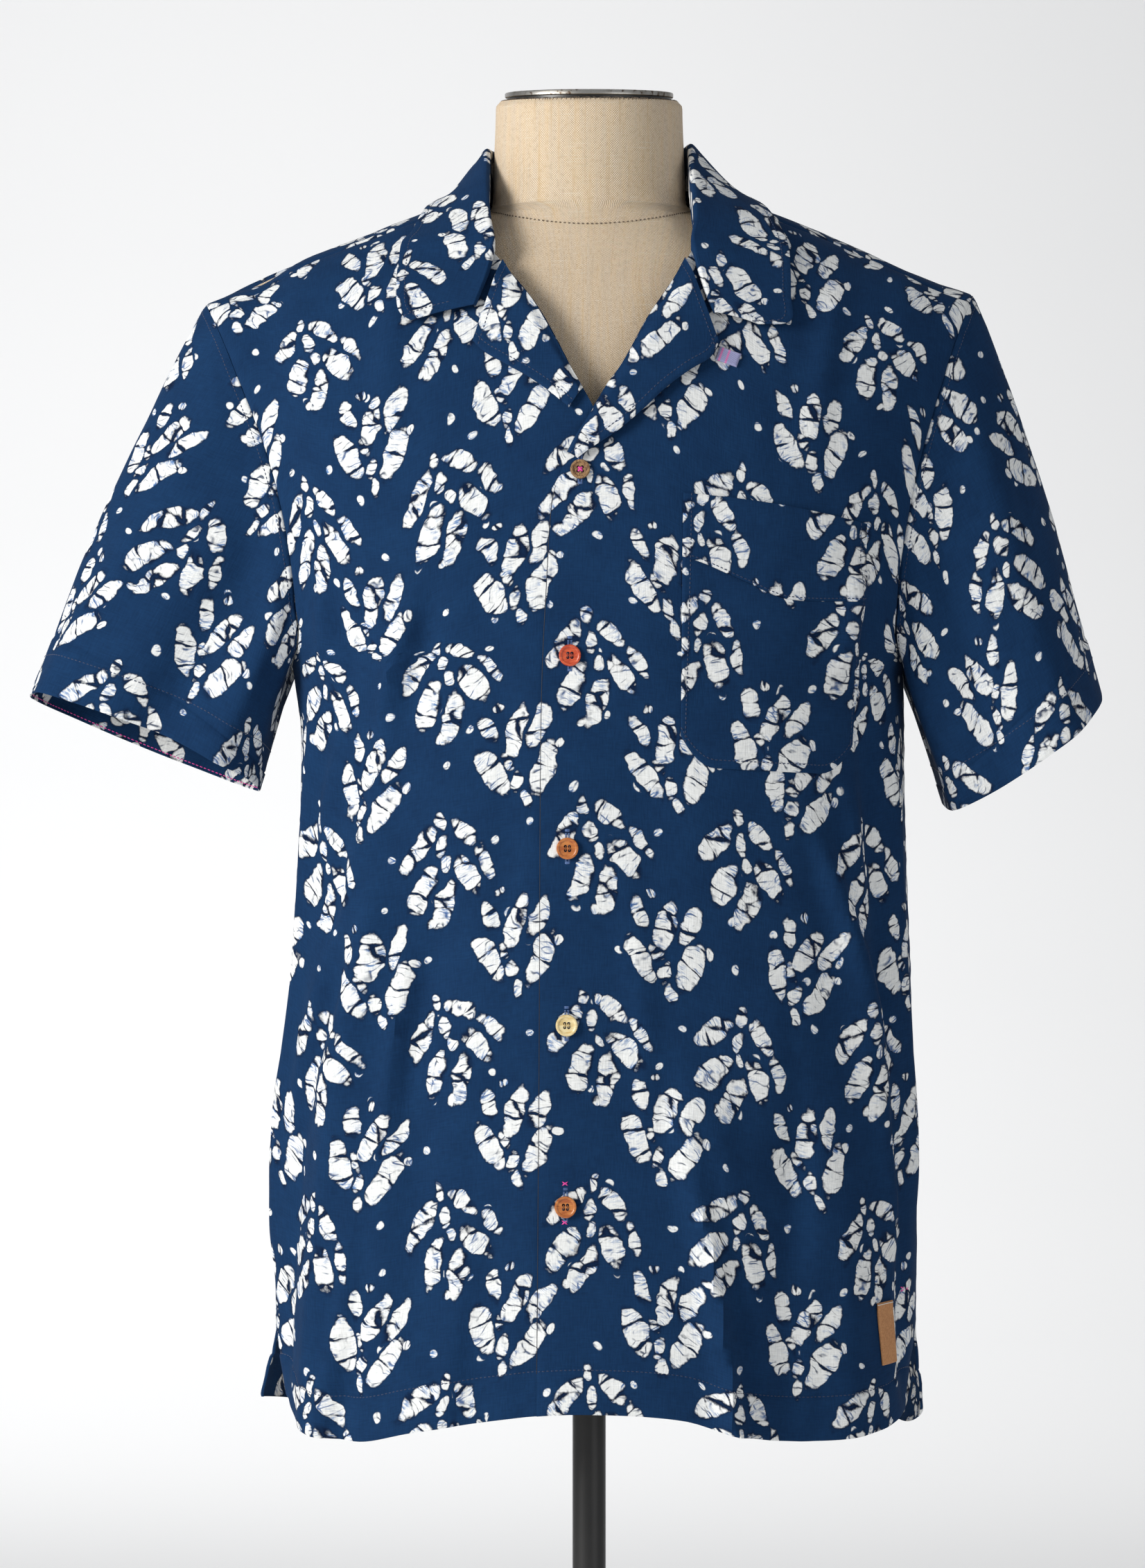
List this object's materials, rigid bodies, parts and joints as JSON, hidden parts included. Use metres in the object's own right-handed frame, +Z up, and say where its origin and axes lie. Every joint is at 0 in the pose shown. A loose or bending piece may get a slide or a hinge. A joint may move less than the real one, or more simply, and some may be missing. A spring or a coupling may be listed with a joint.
{
  "type": "short-sleeve shirt on a dress form",
  "caption": "Short-sleeve camp-collar shirt in navy and white leaf-print cotton with a chest pocket, on a linen-covered limbless dress form with a black pole and round base.",
  "frame": {"origin": "centre of the base's underside, on the floor", "axes": "+Z up along the pole, the shirt's front faces -Y, the wearer's left is +X"},
  "size_m": [0.644, 0.34, 1.5486],
  "materials": {
    "shirt_cotton": "plain-woven cotton printed in navy and white",
    "linen": "natural linen",
    "steel": "brushed",
    "black_enamel": "satin black",
    "button_red": "polished",
    "button_tan": "polished",
    "button_cream": "polished",
    "coconut": "sanded shell",
    "leather": "natural",
    "ribbon": "woven ribbon"
  },
  "bodies": {
    "root": {"front_right": "shirt_cotton", "front_left": "shirt_cotton", "back": "shirt_cotton", "sleeve_right": "shirt_cotton", "sleeve_left": "shirt_cotton", "collar": "shirt_cotton", "lapel_right": "shirt_cotton", "lapel_left": "shirt_cotton", "pocket": "shirt_cotton", "pocket_band": "shirt_cotton", "button_1": "coconut", "button_2": "button_red", "button_3": "button_tan", "button_4": "button_cream", "button_5": "button_tan", "leather_tab": "leather", "ribbon_loop": "ribbon", "form_torso": "linen", "neck_cap": "steel", "pole": "black_enamel", "base": "black_enamel"}
  },
  "joints": []
}
